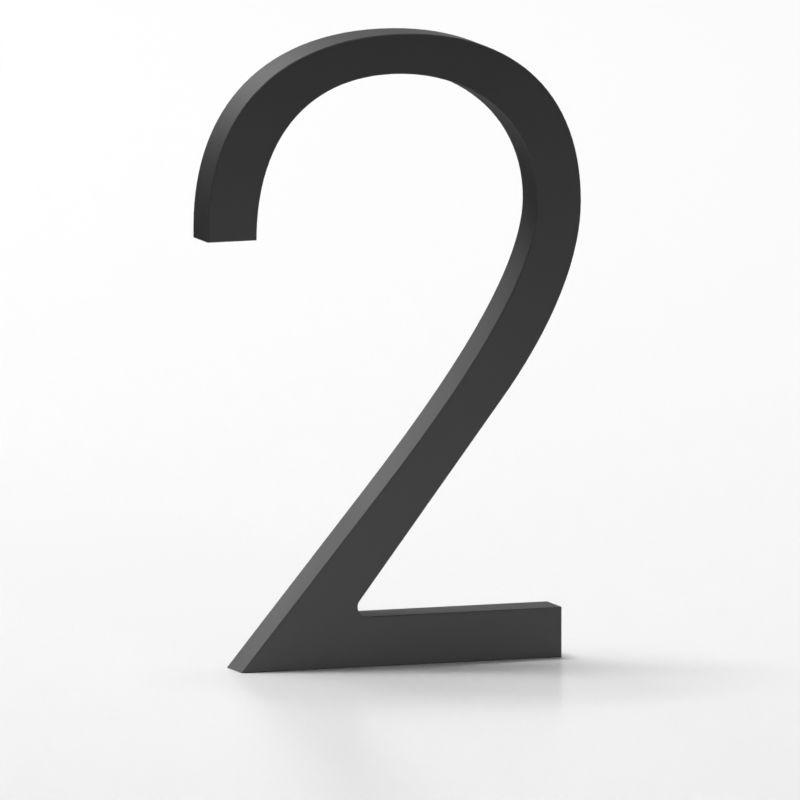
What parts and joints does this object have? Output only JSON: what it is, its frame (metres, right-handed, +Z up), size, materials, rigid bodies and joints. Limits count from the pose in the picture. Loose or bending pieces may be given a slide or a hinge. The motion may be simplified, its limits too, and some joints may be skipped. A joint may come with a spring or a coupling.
{
  "type": "house number",
  "caption": "Upright house number, a plain figure two with a round bowl, straight diagonal and level foot, cut from thick dark-coated plate and fixed to a wall by hidden studs.",
  "frame": {"origin": "on the standing line under the foot, below the middle of the bowl, at half the plate's thickness", "axes": "+X to the right across the figure as it is read, +Y from the front face back towards the wall, +Z up"},
  "size_m": [0.0904, 0.01, 0.145],
  "materials": {
    "powder_coat": "matt, fine-grained powder coat in anthracite",
    "bare_aluminium": "bare cut metal of the tapped holes, which are plugged while the figure is coated"
  },
  "bodies": {
    "root": {"numeral": "powder_coat"}
  },
  "joints": []
}
